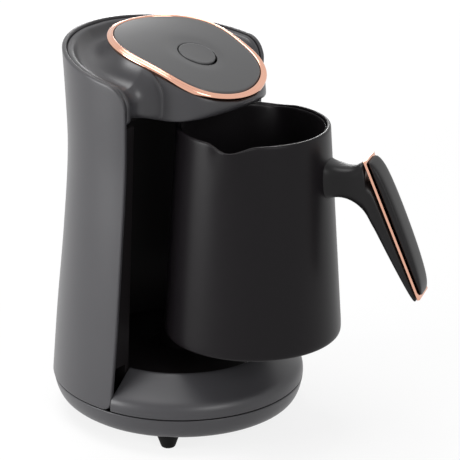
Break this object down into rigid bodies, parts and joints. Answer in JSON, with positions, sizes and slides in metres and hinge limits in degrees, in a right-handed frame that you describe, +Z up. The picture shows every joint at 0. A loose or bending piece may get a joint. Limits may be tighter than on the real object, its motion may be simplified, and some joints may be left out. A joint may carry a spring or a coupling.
{
  "type": "electric turkish coffee maker",
  "caption": "Compact electric Turkish coffee maker: round base, wrap-around shell, sloping one-button head and a cordless two-spout jug with a banded handle.",
  "frame": {"origin": "on the standing surface under the middle of the round base", "axes": "+Z up, the front with the jug faces -Y, +X to the right seen from the front"},
  "size_m": [0.132, 0.2112, 0.2123],
  "materials": {
    "base_grey": "satin",
    "button_grey": "satin",
    "casing_grey": "satin",
    "chamber_black": "matt",
    "circuit_green": "solder mask",
    "contact_brass": "bright",
    "element_steel": "drawn tube",
    "guide_white": "translucent",
    "handle_black": "satin",
    "inner_black": "matt",
    "jug_black": "satin black",
    "lead_red": "sheath",
    "lens_clear": "clear",
    "panel_grey": "satin",
    "part_black": "moulded",
    "plate_aluminium": "cast",
    "pot_coating": "non-stick coating",
    "rose_copper": "polished rose copper",
    "rubber_black": "matt",
    "screw_steel": "zinc"
  },
  "bodies": {
    "machine": {"base_connector": "inner_black", "base_lower_cover": "base_grey", "base_upper_ring": "base_grey", "board_posts": "inner_black", "board_screws": "screw_steel", "buzzer": "part_black", "case_screws": "screw_steel", "connector_contacts": "contact_brass", "control_board": "circuit_green", "control_panel": "panel_grey", "copper_ring": "rose_copper", "cord_inlet_bush": "rubber_black", "docking_plate": "chamber_black", "edge_seal": "rubber_black", "filter_capacitor": "part_black", "head_housing": "casing_grey", "head_underside": "chamber_black", "indicator_leds": "guide_white", "inner_housing": "chamber_black", "light_guide": "guide_white", "mains_fuse": "lens_clear", "outer_shell": "casing_grey", "power_board": "circuit_green", "relay": "part_black", "rubber_feet": "rubber_black", "sensor_board": "circuit_green", "sensor_lens": "lens_clear", "tact_switch": "part_black", "terminal_block": "guide_white", "wiring_harness": "lead_red"},
    "button": {"start_button": "button_grey", "switch_plunger": "part_black"},
    "jug": {"handle_band": "rose_copper", "handle_body": "handle_black", "handle_grip": "handle_black", "handle_screws": "screw_steel", "heater_plate": "plate_aluminium", "heating_element": "element_steel", "jug_base_cover": "inner_black", "jug_inner_pot": "pot_coating", "jug_jacket": "jug_black", "jug_socket": "inner_black", "thermal_fuse": "plate_aluminium", "thermostat": "part_black"}
  },
  "joints": [
    {"name": "button_press", "type": "slide", "parent": "machine", "child": "button", "axis": [0, 0.3378, -0.9412], "range_m": [0, 0.0008], "stiffness_N_per_m": 1500, "springref_m": -0.0003},
    {"name": "jug_slide", "type": "slide", "parent": "machine", "child": "jug", "axis": [0, -1, 0], "range_m": [-0.0477, 0.12]}
  ]
}
